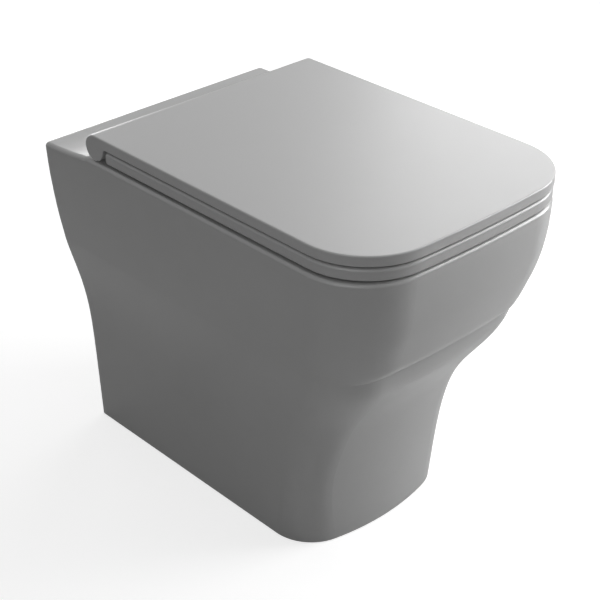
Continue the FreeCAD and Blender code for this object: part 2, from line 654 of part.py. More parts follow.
def post_fixings():
    """Gasket and post on each side, and the screws, sleeves and nuts that hold them to the deck."""
    made = []
    screws, sleeves, nuts = [], [], []
    bore = "(Sizes.screw_radius + Sizes.screw_fit)"
    bulge_top = f"({CEILING} - Sizes.sleeve_fit)"
    bulge_bottom = f"({bulge_top} - Sizes.sleeve_bulge_length)"
    nut_bottom = f"({bulge_bottom} - Sizes.nut_height)"
    screw_bottom = f"({nut_bottom} - Sizes.screw_tail)"
    for side, sign in SIDES:
        x = f"{sign} * {POST_X}"

        def upright(name, radius, low, high):
            return rod(f"{name}_{side}", radius, f"{high} - {low}", (x, POST_Y, low))

        disc = upright("gasket_disc", "Sizes.flange_radius", RIM_TOP, FLANGE_BOTTOM)
        gasket_way = upright("gasket_way", bore, RIM_TOP, FLANGE_BOTTOM)
        made.append(cut(f"post_gasket_{side}", disc, [gasket_way]))
        flange = upright("flange", "Sizes.flange_radius", FLANGE_BOTTOM, FLANGE_TOP)
        pillar = upright("pillar", "Sizes.post_radius", FLANGE_BOTTOM, POST_TOP)
        post_way = upright("post_way", bore, FLANGE_BOTTOM, POST_TOP)
        made.append(cut(f"hinge_post_{side}", join(f"post_{side}", [flange, pillar]), [post_way]))
        head = upright("screw_top", "Sizes.screw_head_radius", POST_TOP, HEAD_TOP)
        shank = upright("screw_shank", "Sizes.screw_radius", screw_bottom, POST_TOP)
        screws.append(join(f"screw_{side}", [head, shank]))
        neck = upright("sleeve_neck", "Sizes.post_hole - Sizes.sleeve_fit", bulge_bottom, RIM_TOP)
        bulge = upright("sleeve_swell", "Sizes.sleeve_bulge", bulge_bottom, bulge_top)
        sleeve_way = upright("sleeve_way", bore, bulge_bottom, RIM_TOP)
        sleeves.append(cut(f"sleeve_{side}", join(f"sleeve_whole_{side}", [neck, bulge]), [sleeve_way]))
        hexagon = solid(
            "Prism",
            f"nut_hexagon_{side}",
            {"Circumradius": "Sizes.nut_radius", "Height": "Sizes.nut_height"},
            (x, POST_Y, nut_bottom),
        )
        nut_way = upright("nut_way", bore, nut_bottom, bulge_bottom)
        nuts.append(cut(f"nut_{side}", hexagon, [nut_way]))
    made.append(group("hinge_screws", screws))
    made.append(group("expansion_sleeves", sleeves))
    made.append(group("sleeve_nuts", nuts))
    return made


def hinge_carrier():
    """Blocks that drop over the posts, with their pins and release buttons."""
    made = []
    floor = f"({FLANGE_TOP} + Sizes.foot_clearance)"
    socket = "(Sizes.post_radius + Sizes.post_play)"
    rear_face = f"({HINGE_Y} + Sizes.foot_rear)"
    button_rear = f"({rear_face} + Sizes.button_proud)"
    button_low = f"({HINGE_Z} - Sizes.button_drop - Sizes.button_height / 2)"
    slot_width = "(Sizes.button_width + 2 * Sizes.button_play)"
    slot_height = "(Sizes.button_height + 2 * Sizes.button_play)"
    pin_length = "(Sizes.block_width + Sizes.pin_inboard + Sizes.pin_outboard)"
    for side, sign in SIDES:
        x = f"{sign} * {POST_X}"
        start = f"{x} - Sizes.block_width / 2"
        axis = (start, HINGE_Y, HINGE_Z)
        hub = rod(f"hub_{side}", "Sizes.knuckle_radius", "Sizes.block_width", axis, ALONG_X)
        foot = block(
            f"foot_{side}",
            "Sizes.block_width",
            "Sizes.foot_front + Sizes.foot_rear",
            f"{HINGE_Z} - {floor}",
            (start, f"{HINGE_Y} - Sizes.foot_front", floor),
        )
        post_way = rod(
            f"socket_{side}",
            socket,
            f"{HEAD_TOP} + Sizes.roof_gap - {floor} + {OVERRUN}",
            (x, POST_Y, f"{floor} - {OVERRUN}"),
        )
        pin_way = rod(
            f"pin_way_{side}",
            "Sizes.pin_radius + Sizes.pin_fit",
            f"Sizes.block_width + 2 * {OVERRUN}",
            (f"{start} - {OVERRUN}", HINGE_Y, HINGE_Z),
            ALONG_X,
        )
        slot = block(
            f"slot_{side}",
            slot_width,
            f"{rear_face} + {OVERRUN} - {POST_Y}",
            slot_height,
            (f"{x} - {slot_width} / 2", POST_Y, f"{button_low} - Sizes.button_play"),
        )
        whole = join(f"block_whole_{side}", [hub, foot])
        made.append(cut(f"hinge_block_{side}", whole, [post_way, pin_way, slot]))
        inboard = "Sizes.pin_inboard" if sign > 0 else "Sizes.pin_outboard"
        pin_start = (f"{start} - {inboard}", HINGE_Y, HINGE_Z)
        made.append(rod(f"hinge_pin_{side}", "Sizes.pin_radius", pin_length, pin_start, ALONG_X))
        button = block(
            f"release_button_{side}",
            "Sizes.button_width",
            "Sizes.button_length",
            "Sizes.button_height",
            (f"{x} - Sizes.button_width / 2", f"{button_rear} - Sizes.button_length", button_low),
        )
        made.append(button)
    return made


def cartridge(label, sign, start, length, pin_depth):
    """A damper or bush: a round plug from its start, bored for the hinge pin from the block's side."""
    low = f"{start}" if sign > 0 else f"-({start} + {length})"
    body = rod(f"{label}_plug", "Sizes.cartridge_radius", length, (low, HINGE_Y, HINGE_Z), ALONG_X)
    way_low = f"{pin_depth[0]}" if sign > 0 else f"-({pin_depth[1]})"
    way = rod(
        f"{label}_way",
        "Sizes.pin_radius + Sizes.pin_fit",
        f"{pin_depth[1]} - {pin_depth[0]}",
        (way_low, HINGE_Y, HINGE_Z),
        ALONG_X,
    )
    return cut(label, body, [way])


def cartridges():
    """Soft-close damper in the lid's left barrel and the seat's right knuckle, plain bushes opposite."""
    play = "Sizes.side_play"
    lid_start = f"({BARREL_START} + {play})"
    lid_end = f"({BLOCK_OUTER} + Sizes.pin_outboard + {play})"
    lid_way = (f"({lid_start} - {OVERRUN})", lid_end)
    through = f"({lid_start} + Sizes.bush_length + {OVERRUN})"
    seat_end = f"({KNUCKLE_END} - {play})"
    pin_tip = f"({BLOCK_INNER} - Sizes.pin_inboard - {play})"
    seat_way = (pin_tip, f"({seat_end} + {OVERRUN})")
    seat_bush_start = f"({seat_end} - Sizes.bush_length)"
    seat_through = (f"({seat_bush_start} - {OVERRUN})", f"({seat_end} + {OVERRUN})")
    return [
        cartridge("lid_damper", -1, lid_start, "Sizes.damper_length", lid_way),
        cartridge("lid_bush", 1, lid_start, "Sizes.bush_length", (lid_way[0], through)),
        cartridge("seat_damper", 1, f"({seat_end} - Sizes.damper_length)", "Sizes.damper_length", seat_way),
        cartridge("seat_bush", -1, seat_bush_start, "Sizes.bush_length", seat_through),
    ]


def hinge_rod(body, kind, name, radius, start, length, symmetric=False):
    """A pad or pocket round the hinge line, along X."""
    sketch = new_sketch(body, name, "YZ_Plane", start)
    circle(sketch, HINGE_Y, HINGE_Z, radius)
    return prism(body, kind, sketch, length, symmetric=symmetric, reverse=kind == "Pocket" and not symmetric)


def seat_ring():
    """Ring with a D-shaped opening and two knuckles on the hinge line, bored for damper and bush."""
    body = new_body("seat_ring")
    plate = new_sketch(body, "seat_plate", "XY_Plane", SEAT_BOTTOM)
    d_outline(
        plate,
        SEAT_HALF,
        SEAT_FRONT,
        SEAT_REAR,
        "Sizes.lid_corner - Sizes.seat_inset",
        "Sizes.lid_crown - Sizes.seat_inset",
        "Sizes.seat_rear_corner",
    )
    prism(body, "Pad", plate, "Sizes.seat_thickness")
    opening = new_sketch(body, "seat_opening", "XY_Plane", SEAT_TOP)
    d_outline(
        opening,
        f"{SEAT_HALF} - Sizes.seat_side_band",
        f"{SEAT_FRONT} + Sizes.seat_front_band",
        f"{SEAT_REAR} - Sizes.seat_rear_band",
        "Sizes.seat_hole_corner",
        "Sizes.seat_hole_crown",
        "Sizes.seat_hole_rear_corner",
    )
    prism(body, "Pocket", opening, "Sizes.seat_thickness")
    low, high, half, hole_half = (
        value(size) for size in (SEAT_BOTTOM, SEAT_TOP, SEAT_HALF, f"{SEAT_HALF} - Sizes.seat_side_band")
    )
    band_front = value(f"{SEAT_FRONT} + Sizes.seat_front_band / 2")
    band_rear = value(f"{SEAT_REAR} - Sizes.seat_rear_band / 2")

    def is_level(box):
        return near(box.ZMin, box.ZMax) and (near(box.ZMin, low) or near(box.ZMin, high))

    def is_inner(edge):
        box = edge.BoundBox
        inside = max(abs(box.XMin), abs(box.XMax)) < (half + hole_half) / 2
        return is_level(box) and inside and box.YMin > band_front and box.YMax < band_rear

    def is_outer(edge):
        return is_level(edge.BoundBox) and not is_inner(edge)

    round_edges(body, "seat_outer_rounds", "Sizes.seat_edge_round", is_outer)
    round_edges(body, "seat_inner_rounds", "Sizes.seat_inner_round", is_inner)
    inner_end = f"({KNUCKLE_END} - Sizes.knuckle_length)"
    for side, sign in SIDES:
        start = inner_end if sign > 0 else f"-{KNUCKLE_END}"
        hinge_rod(body, "Pad", f"knuckle_{side}", "Sizes.knuckle_radius", start, "Sizes.knuckle_length")
        arm = new_sketch(body, f"arm_{side}", "YZ_Plane", start)
        rectangle(
            arm,
            f"{SEAT_REAR} - Sizes.seat_rear_band / 4",
            HINGE_Y,
            SEAT_BOTTOM,
            f"{SEAT_BOTTOM} + Sizes.knuckle_arm",
        )
        prism(body, "Pad", arm, "Sizes.knuckle_length")
        bore_length = "(Sizes.damper_length + Sizes.side_play)"
        bore_start = f"({KNUCKLE_END} - {bore_length})" if sign > 0 else f"-{KNUCKLE_END}"
        hinge_rod(body, "Pocket", f"knuckle_bore_{side}", CARTRIDGE_BORE, bore_start, bore_length)
    return body


def lid():
    """Flat D-shaped lid with two end barrels, a thin cap over the hinge and a shallow hollow below."""
    body = new_body("lid")
    plate = new_sketch(body, "lid_plate", "XY_Plane", LID_BOTTOM)
    lid_half = "(Sizes.lid_width / 2)"
    lid_front = "(-Sizes.overall_depth / 2)"
    d_outline(plate, lid_half, lid_front, HINGE_Y, "Sizes.lid_corner", "Sizes.lid_crown")
    prism(body, "Pad", plate, "Sizes.lid_thickness")
    barrel_length = f"({lid_half} - {BARREL_START})"
    for side, sign in SIDES:
        start = BARREL_START if sign > 0 else f"-{lid_half}"
        hinge_rod(body, "Pad", f"barrel_{side}", BARREL, start, barrel_length)
    cap = new_sketch(body, "lid_cap", "YZ_Plane")
    middle = Vector(value(HINGE_Y), value(HINGE_Z), 0)
    outer, inner = value(BARREL), value(CAP_RADIUS)
    wrap = math.radians(value("Sizes.cap_wrap"))
    end = Vector(math.cos(wrap), math.sin(wrap), 0)
    top = Vector(0, 1, 0)
    up = Vector(0, 0, 1)
    cap.addGeometry(
        [
            Part.ArcOfCircle(Part.Circle(middle, up, outer), wrap, math.pi / 2),
            Part.LineSegment(middle + top * outer, middle + top * inner),
            Part.ArcOfCircle(Part.Circle(middle, up, inner), wrap, math.pi / 2),
            Part.LineSegment(middle + end * inner, middle + end * outer),
        ],
        False,
    )
    for first, last, second, begin in ((0, 2, 1, 1), (1, 2, 2, 2), (2, 1, 3, 1), (3, 2, 0, 1)):
        cap.addConstraint(Sketcher.Constraint("Coincident", first, last, second, begin))
    cap.addConstraint(Sketcher.Constraint("Coincident", 0, 3, 2, 3))
    cap.addConstraint(Sketcher.Constraint("Vertical", 1))
    cap.addConstraint(Sketcher.Constraint("PointOnObject", 0, 3, 1))
    cap.addConstraint(Sketcher.Constraint("PointOnObject", 0, 3, 3))
    bind(cap, "axis_y", Sketcher.Constraint("DistanceX", -1, 1, 0, 3, middle.x), HINGE_Y)
    bind(cap, "axis_z", Sketcher.Constraint("DistanceY", -1, 1, 0, 3, middle.y), HINGE_Z)
    bind(cap, "outer", Sketcher.Constraint("Radius", 0, outer), BARREL)
    bind(cap, "inner", Sketcher.Constraint("Radius", 2, inner), CAP_RADIUS)
    bind(cap, "wrap", Sketcher.Constraint("Angle", -1, 1, 3, 1, wrap), "Sizes.cap_wrap * 1 deg")
    prism(body, "Pad", cap, f"2 * {BARREL_START}", symmetric=True)
    hinge_rod(body, "Pocket", "hinge_space", CAP_RADIUS, "0", f"2 * {BARREL_START}", symmetric=True)
    bore_length = f"2 * ({BARREL_START} + Sizes.side_play + Sizes.damper_length)"
    hinge_rod(body, "Pocket", "barrel_bores", CARTRIDGE_BORE, "0", bore_length, symmetric=True)
    recess = new_sketch(body, "lid_recess", "XY_Plane", LID_BOTTOM)
    d_outline(
        recess,
        f"{lid_half} - Sizes.lid_border",
        f"{lid_front} + Sizes.lid_border",
        f"{HINGE_Y} - Sizes.recess_setback",
        "Sizes.lid_corner - Sizes.lid_border",
        "Sizes.lid_crown - Sizes.lid_border",
        "Sizes.recess_rear_corner",
    )
    prism(body, "Pocket", recess, "Sizes.lid_recess", reverse=True)
    low, high, half, axis_y, front = (
        value(size) for size in (LID_BOTTOM, LID_TOP, lid_half, HINGE_Y, lid_front)
    )

    def is_blend(edge):
        box = edge.BoundBox
        along = near(box.YLength, 0) and near(box.ZMin, low) and near(box.ZMax, low)
        return along and near(max(abs(box.XMin), abs(box.XMax)), half) and box.YMax < axis_y

    def is_outer(edge):
        box = edge.BoundBox
        side = max(abs(box.XMin), abs(box.XMax))
        level = near(box.ZMin, box.ZMax) and (near(box.ZMin, low) or near(box.ZMin, high))
        at_end = near(side, half) and near(box.XLength, 0)
        around = near(side, half) or near(box.YMin, front)
        return at_end or level and around and not near(box.YLength, 0)

    round_edges(body, "barrel_blends", "Sizes.barrel_blend", is_blend)
    round_edges(body, "lid_outer_rounds", "Sizes.lid_edge_round", is_outer)
    return body


def rubber_pads():
    """Pads under the seat ring, and pads under the lid."""
    seat_pads, lid_pads = [], []
    seat_low = f"({RIM_TOP} + Sizes.buffer_play)"
    lid_low = f"({SEAT_TOP} + Sizes.buffer_play)"
    lid_side = "(Sizes.lid_width / 2 - Sizes.pad_inset)"
    lid_front = "(-Sizes.overall_depth / 2 + Sizes.pad_inset)"
    seat_spots = (("rear", "Sizes.buffer_rear"), ("front", "-Sizes.buffer_front"))
    lid_spots = (("rear", lid_side, "Sizes.buffer_rear"), ("front", "Sizes.pad_front_side", lid_front))
    for side, sign in SIDES:
        for name, y in seat_spots:
            place = (f"{sign} * Sizes.buffer_side", y, seat_low)
            height = f"{SEAT_BOTTOM} - {seat_low}"
            seat_pads.append(rod(f"seat_pad_{name}_{side}", "Sizes.buffer_radius", height, place))
        for name, x, y in lid_spots:
            place = (f"{sign} * {x}", y, lid_low)
            height = f"{LID_BOTTOM} - {lid_low}"
            lid_pads.append(rod(f"lid_pad_{name}_{side}", "Sizes.pad_radius", height, place))
    return [group("seat_buffers", seat_pads), group("lid_buffers", lid_pads)]


sub_parts = [ceramic_pan(), flush_insert(), inlet_seal(), seat_ring(), lid()]
sub_parts += post_fixings() + hinge_carrier() + cartridges() + rubber_pads()
doc.recompute()
failed = [thing.Name for thing in doc.Objects if "Invalid" in thing.State or "Error" in thing.State]
if failed:
    raise RuntimeError(f"objects failed to build: {failed}")
for piece in sub_parts:
    if piece.Shape.isNull() or not piece.Shape.isValid():
        raise RuntimeError(f"{piece.Label} has no valid shape")
os.makedirs("parts", exist_ok=True)
for piece in sub_parts:
    piece.Shape.exportStep(f"parts/{piece.Label}.step")
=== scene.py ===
"""Looks of the rimless toilet: satin glaze, resin seat and lid, hinge and pipe fittings."""

import json
import math

import bpy
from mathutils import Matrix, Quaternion, Vector


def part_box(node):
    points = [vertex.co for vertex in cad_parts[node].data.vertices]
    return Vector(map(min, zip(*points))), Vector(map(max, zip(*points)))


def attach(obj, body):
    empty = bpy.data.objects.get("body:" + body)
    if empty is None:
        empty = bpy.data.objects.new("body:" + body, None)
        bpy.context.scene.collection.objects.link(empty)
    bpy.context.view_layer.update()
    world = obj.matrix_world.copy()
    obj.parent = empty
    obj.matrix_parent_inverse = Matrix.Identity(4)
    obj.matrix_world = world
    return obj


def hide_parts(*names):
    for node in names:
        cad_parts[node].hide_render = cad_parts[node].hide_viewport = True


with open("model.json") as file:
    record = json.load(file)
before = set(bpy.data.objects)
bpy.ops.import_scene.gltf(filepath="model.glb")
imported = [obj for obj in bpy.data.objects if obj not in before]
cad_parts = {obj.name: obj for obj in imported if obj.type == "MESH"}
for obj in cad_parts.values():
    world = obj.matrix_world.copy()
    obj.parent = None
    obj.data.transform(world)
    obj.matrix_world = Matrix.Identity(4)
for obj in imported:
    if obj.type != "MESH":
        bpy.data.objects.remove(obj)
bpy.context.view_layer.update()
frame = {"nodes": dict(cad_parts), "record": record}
nodes = frame["nodes"]
scene = bpy.context.scene

# Sockets of a Mix node that carry colours: two inputs and the result
MIX_FIRST, MIX_SECOND, MIX_RESULT = 6, 7, 2


class Wire:
    """A shader socket that takes part in sums and products, each of which adds a Math node."""

    def __init__(self, tree, socket):
        self.tree = tree
        self.socket = socket

    def node(self, kind, settings, inputs, output=0):
        """Add a node: its settings first, then the values or links of its sockets."""
        made = self.tree.nodes.new(kind)
        for name, value in settings.items():
            setattr(made, name, value)
        for name, value in inputs.items():
            if isinstance(value, Wire):
                self.tree.links.new(value.socket, made.inputs[name])
            else:
                made.inputs[name].default_value = value
        return Wire(self.tree, made.outputs[output])

    def maths(self, operation, *values):
        return self.node("ShaderNodeMath", {"operation": operation}, dict(enumerate(values)))

    def __add__(self, other):
        return self.maths("ADD", self, other)

    def __sub__(self, other):
        return self.maths("SUBTRACT", self, other)

    def __rsub__(self, other):
        return self.maths("SUBTRACT", other, self)

    def __mul__(self, other):
        return self.maths("MULTIPLY", self, other)

    __radd__ = __add__
    __rmul__ = __mul__

    def above(self, level, blur):
        """1 where this is over the level, 0 below it, with a soft step between."""
        inputs = {"Value": self, "From Min": level - blur, "From Max": level + blur}
        return self.node("ShaderNodeMapRange", {"interpolation_type": "SMOOTHSTEP"}, inputs)

    def mix(self, first, second):
        """Two colours mixed by this value."""
        inputs = {"Factor": self, MIX_FIRST: first, MIX_SECOND: second}
        return self.node("ShaderNodeMix", {"data_type": "RGBA"}, inputs, MIX_RESULT)


def grey(level, tint=(1, 1, 1)):
    """A colour of that linear level, with a slight tint."""
    return (level * tint[0], level * tint[1], level * tint[2], 1)


class Finish:
    """A material on Object coordinates: constants on its shader, then what varies over it."""

    def __init__(self, name, constants):
        self.material = bpy.data.materials.new(name)
        self.material.use_nodes = True
        tree = self.material.node_tree
        self.shader = tree.nodes["Principled BSDF"]
        for socket, value in constants.items():
            self.shader.inputs[socket].default_value = value
        coordinates = tree.nodes.new("ShaderNodeTexCoord")
        self.place = Wire(tree, coordinates.outputs["Object"])

    def along(self, axis):
        """The place along one axis, X, Y or Z, in metres."""
        return self.place.node("ShaderNodeSeparateXYZ", {}, {"Vector": self.place}, axis)

    def noise(self, scale, detail=2.0, stretch=None):
        """Noise with that many cells to the metre, drawn out where a stretch value is small."""
        place = self.place
        if stretch:
            place = place.node("ShaderNodeMapping", {}, {"Vector": place, "Scale": stretch})
        inputs = {"Vector": place, "Scale": scale, "Detail": detail}
        return place.node("ShaderNodeTexNoise", {}, inputs)

    def bump(self, *layers):
        """Stack height layers, each a height wire and its depth in metres."""
        normal = None
        for height, depth in layers:
            inputs = {"Height": height, "Strength": 1.0, "Distance": depth}
            if normal:
                inputs["Normal"] = normal
            normal = height.node("ShaderNodeBump", {}, inputs)
        self.set("Normal", normal)

    def set(self, socket, wire):
        self.material.node_tree.links.new(wire.socket, self.shader.inputs[socket])


def glaze():
    """Satin grey glaze, pooled a little unevenly; bare clay on the ground foot and wall edge."""
    foot_level, wall_edge_y, border = 0.0009, 0.2734, 0.0004
    finish = Finish("satin_glaze", {"Coat Roughness": 0.2, "IOR": 1.52})
    cloud = finish.noise(7.0, 3.0)
    speck = finish.noise(900.0, 1.0)
    pool = finish.noise(38.0)
    ground = 1 - finish.along("Z").above(foot_level, border)
    wall_edge = finish.along("Y").above(wall_edge_y, border)
    bare = ground.maths("MAXIMUM", ground, wall_edge)
    shade = cloud * 0.5 + speck * 0.25 + pool * 0.25
    glazed = shade.mix(grey(0.425, (1.0, 1.0, 0.995)), grey(0.495, (0.995, 0.998, 1.0)))
    grain = finish.noise(420.0, 4.0)
    clay = grain.mix(grey(0.62, (1.0, 0.97, 0.91)), grey(0.78, (1.0, 0.97, 0.92)))
    finish.set("Base Color", bare.mix(glazed, clay))
    gloss = 0.25 + pool * 0.1 + speck * 0.05
    finish.set("Roughness", gloss + bare * 0.55)
    finish.set("Coat Weight", (1 - bare) * 0.7)
    waves, ripple = finish.noise(16.0, 1.0), finish.noise(150.0)
    finish.bump((waves, 0.00035), (ripple, 0.00003), (grain * bare, 0.0002))
    return finish.material


def resin(name, tone):
    """Moulded thermoset resin of the seat and lid: even grey with a fine satin grain."""
    finish = Finish(name, {"Coat Roughness": 0.3, "Coat Weight": 0.75, "IOR": 1.5})
    cloud = finish.noise(5.0, 3.0)
    fleck = finish.noise(1500.0)
    shade = cloud * 0.55 + fleck * 0.45
    finish.set("Base Color", shade.mix(grey(tone * 0.95), grey(tone * 1.05)))
    rubbed = finish.noise(24.0, 4.0)
    finish.set("Roughness", 0.3 + rubbed * 0.08 + fleck * 0.06)
    finish.bump((finish.noise(9.0, 1.0), 0.0002), (fleck, 0.000012))
    return finish.material


def moulded(name, tone, tint=(1, 1, 1)):
    """Moulded plastic with spark-eroded grain and faint flow clouds."""
    finish = Finish(name, {"IOR": 1.46})
    spark = finish.noise(2600.0, 3.0)
    flow = finish.noise(60.0, 3.0, (1, 0.35, 1))
    shade = flow * 0.6 + spark * 0.4
    finish.set("Base Color", shade.mix(grey(tone * 0.88, tint), grey(tone * 1.12, tint)))
    finish.set("Roughness", 0.42 + spark * 0.16 + flow * 0.06)
    finish.bump((spark, 0.00004))
    return finish.material


def rubber(name, tone, bloom):
    """Soft rubber with a dusty bloom and a pitted skin."""
    finish = Finish(name, {"IOR": 1.5})
    pits = finish.noise(1900.0, 3.0)
    dust = finish.noise(130.0, 4.0)
    shade = dust * 0.7 + pits * 0.3
    finish.set("Base Color", shade.mix(grey(tone), grey(tone + bloom)))
    finish.set("Roughness", 0.62 + dust * 0.2)
    finish.bump((pits, 0.00005))
    return finish.material


def steel():
    """Stainless steel brushed along the hinge line, with fine scratches."""
    warm = (1.0, 0.99, 0.97)
    finish = Finish("brushed_steel", {"Metallic": 1.0, "Anisotropic": 0.4})
    brush = finish.noise(2400.0, 2.0, (0.02, 1, 1))
    cloud = finish.noise(90.0, 3.0)
    shade = brush * 0.7 + cloud * 0.3
    finish.set("Base Color", shade.mix(grey(0.5, warm), grey(0.66, warm)))
    finish.set("Roughness", 0.24 + brush * 0.16)
    finish.bump((brush, 0.00002))
    return finish.material


def brass():
    """Turned brass, a little dulled."""
    dull, worn, shiny = (0.36, 0.26, 0.12, 1), (0.62, 0.47, 0.22, 1), (0.78, 0.62, 0.33, 1)
    finish = Finish("turned_brass", {"Metallic": 1.0})
    turning = finish.noise(3000.0, 2.0, (0.05, 0.05, 1))
    tarnish = finish.noise(220.0, 4.0)
    finish.set("Base Color", (tarnish * 0.6).mix(turning.mix(worn, shiny), dull))
    finish.set("Roughness", 0.28 + tarnish * 0.25)
    finish.bump((turning, 0.00003))
    return finish.material


finishes = {
    "glazed_pan": glaze(),
    "seat_plastic": resin("seat_resin", 0.46),
    "lid_plastic": resin("lid_resin", 0.47),
    "white_plastic": moulded("white_moulding", 0.74, (1, 1, 0.985)),
    "hinge_plastic": moulded("hinge_moulding", 0.4),
    "button_plastic": moulded("button_moulding", 0.2, (0.98, 0.99, 1.0)),
    "damper_plastic": moulded("damper_moulding", 0.1),
    "pad_rubber": rubber("pad_rubber", 0.3, 0.12),
    "seal_rubber": rubber("seal_rubber", 0.03, 0.05),
    "hinge_steel": steel(),
    "nut_brass": brass(),
}
slots = {row["node"]: row["material_slot"] for row in frame["record"]["subparts"]}
for node_name, slot_name in slots.items():
    for slot in nodes[node_name].material_slots:
        slot.material = finishes[slot_name]


def solids(node, rows=False):
    """Boxes of a node's separate solids, left and right, and front and rear where it has rows."""
    points = [vertex.co for vertex in nodes[node].data.vertices]
    middle = (min(p.y for p in points) + max(p.y for p in points)) / 2
    groups = {}
    for point in points:
        groups.setdefault((point.x > 0, rows and point.y > middle), []).append(point)
    boxes = []
    for _, group in sorted(groups.items()):
        low = Vector(min(p[axis] for p in group) for axis in range(3))
        high = Vector(max(p[axis] for p in group) for axis in range(3))
        boxes.append((low, high))
    return boxes


def foot_of(box):
    """The middle of a box's lower face."""
    low, high = box
    return Vector(((low.x + high.x) / 2, (low.y + high.y) / 2, low.z))


def hold(piece):
    """Select just this piece and make it the active one."""
    bpy.ops.object.select_all(action="DESELECT")
    piece.select_set(True)
    bpy.context.view_layer.objects.active = piece


def turned(name, foot, rings, along="Z", sides=64, bored=False):
    """A turned piece, drawn up from its foot ring by ring; a bored one is led back inside."""
    bpy.ops.object.select_all(action="DESELECT")
    axis = Vector((0, 0, 1)) if along == "Z" else Vector((0, 1, 0))
    tilt = (0, 0, 0) if along == "Z" else (-math.pi / 2, 0, 0)
    radius, level = rings[0]
    start = foot + axis * level
    bpy.ops.mesh.primitive_circle_add(
        vertices=sides, radius=radius, location=start, rotation=tilt
    )
    piece = bpy.context.object
    piece.name = name
    bpy.ops.object.mode_set(mode="EDIT")
    bpy.ops.mesh.select_all(action="SELECT")
    for next_radius, next_level in rings[1:]:
        step = axis * (next_level - level)
        bpy.ops.mesh.extrude_region_move(TRANSFORM_OT_translate={"value": step})
        grow = next_radius / radius
        spread = [grow + (1 - grow) * part for part in axis]
        bpy.ops.transform.resize(value=spread, center_override=foot + axis * next_level)
        radius, level = next_radius, next_level
    bpy.ops.mesh.select_all(action="DESELECT")
    bpy.ops.mesh.select_non_manifold()
    if bored:
        bpy.ops.mesh.bridge_edge_loops()
    else:
        bpy.ops.mesh.fill_holes(sides=0)
    bpy.ops.mesh.select_all(action="SELECT")
    bpy.ops.mesh.normals_make_consistent(inside=False)
    bpy.ops.object.mode_set(mode="OBJECT")
    bpy.ops.object.transform_apply(location=True, rotation=True, scale=True)
    return piece


def softened(piece, width, segments=3):
    """Round a piece's sharp edges and smooth what is left."""
    hold(piece)
    bpy.ops.object.modifier_add(type="BEVEL")
    edges = piece.modifiers[-1]
    edges.width = width
    edges.segments = segments
    edges.limit_method = "ANGLE"
    edges.angle_limit = math.radians(40)
    bpy.ops.object.modifier_apply(modifier=edges.name)
    bpy.ops.object.shade_smooth_by_angle(angle=math.radians(35))
    return piece


def cut_out(piece, tool):
    """Cut a tool's shape out of a piece and throw the tool away."""
    hold(piece)
    bpy.ops.object.modifier_add(type="BOOLEAN")
    piece.modifiers[-1].object = tool
    piece.modifiers[-1].operation = "DIFFERENCE"
    bpy.ops.object.modifier_apply(modifier=piece.modifiers[-1].name)
    hold(tool)
    bpy.ops.object.delete()


def pick(piece, wanted):
    """Go into edit mode with just the faces selected that the test wants, by middle and normal."""
    bpy.ops.object.mode_set(mode="EDIT")
    bpy.ops.mesh.select_mode(type="FACE")
    bpy.ops.mesh.select_all(action="DESELECT")
    bpy.ops.object.mode_set(mode="OBJECT")
    for face in piece.data.polygons:
        face.select = wanted(face.center, face.normal)
    bpy.ops.object.mode_set(mode="EDIT")


def copied(piece, name, shift):
    """A copy with its own mesh, moved and set down."""
    hold(piece)
    bpy.ops.object.duplicate(linked=False)
    twin = bpy.context.object
    twin.name = name
    bpy.ops.transform.translate(value=shift)
    bpy.ops.object.transform_apply(location=True, rotation=True, scale=True)
    return twin


def fitted(piece, node, body):
    """Give a piece its finish and let it ride in place of its CAD node."""
    name = slots[node]
    piece.data.materials.clear()
    piece.data.materials.append(finishes[name])
    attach(piece, body)
    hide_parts(node)


def repeated(first, node, body, boxes, stem):
    """Copy the first piece to the node's other places and fit them all."""
    home = foot_of(boxes[0])
    pieces = [first]
    for number, box in enumerate(boxes[1:], start=2):
        pieces.append(copied(first, f"{stem}_{number}", foot_of(box) - home))
    for piece in pieces:
        fitted(piece, node, body)


def dome(name, box, flat):
    """A moulded rubber pad: straight wall above, rolled edge and a slightly crowned foot below."""
    low, high = box
    radius, height = (high.x - low.x) / 2, high.z - low.z
    crown = [(flat, 0.0), (0.72, 0.025), (0.88, 0.1), (0.965, 0.24), (1.0, 0.42)]
    wall = [(1.0, 0.86), (0.94, 1.0)]
    rings = [(radius * share, height * level) for share, level in crown + wall]
    pad = turned(name, foot_of(box), rings)
    return softened(pad, radius * 0.05, 2)


def hinge_screws():
    """Socket-head screws that hold the hinge posts, threaded below."""
    boxes = solids("hinge_screws")
    low, high = boxes[0]
    head, shank, length = (high.x - low.x) / 2, 0.003, high.z - low.z
    head_height, head_round, head_step, head_lip = 0.0032, 0.0005, 0.0003, 0.0002
    pitch, thread_depth, turns, first_crest = 0.001, 0.0004, 34, 0.0011
    tip_taper, tip_height, run_out = 0.0008, 0.0006, 0.0006
    under, root = length - head_height, shank - thread_depth
    rings = [(shank - tip_taper, 0.0), (root, tip_height)]
    for turn in range(turns):
        crest = first_crest + turn * pitch
        rings += [(shank, crest), (root, crest + pitch / 2)]
    rings += [(shank, rings[-1][1] + run_out), (shank, under)]
    rings += [(head - head_lip, under), (head, under + head_step)]
    rings += [(head, length - head_round), (head - head_round, length)]
    foot = foot_of(boxes[0])
    screw = turned("hinge_screw_1", foot, rings, sides=40)
    key_radius, key_depth, overcut = 0.0029, 0.0019, 0.001
    key_rings = [(key_radius, length - key_depth), (key_radius, length + overcut)]
    cut_out(screw, turned("socket", foot, key_rings, sides=6))
    hold(screw)
    bpy.ops.object.shade_smooth_by_angle(angle=math.radians(28))
    repeated(screw, "hinge_screws", "pan", boxes, "hinge_screw")


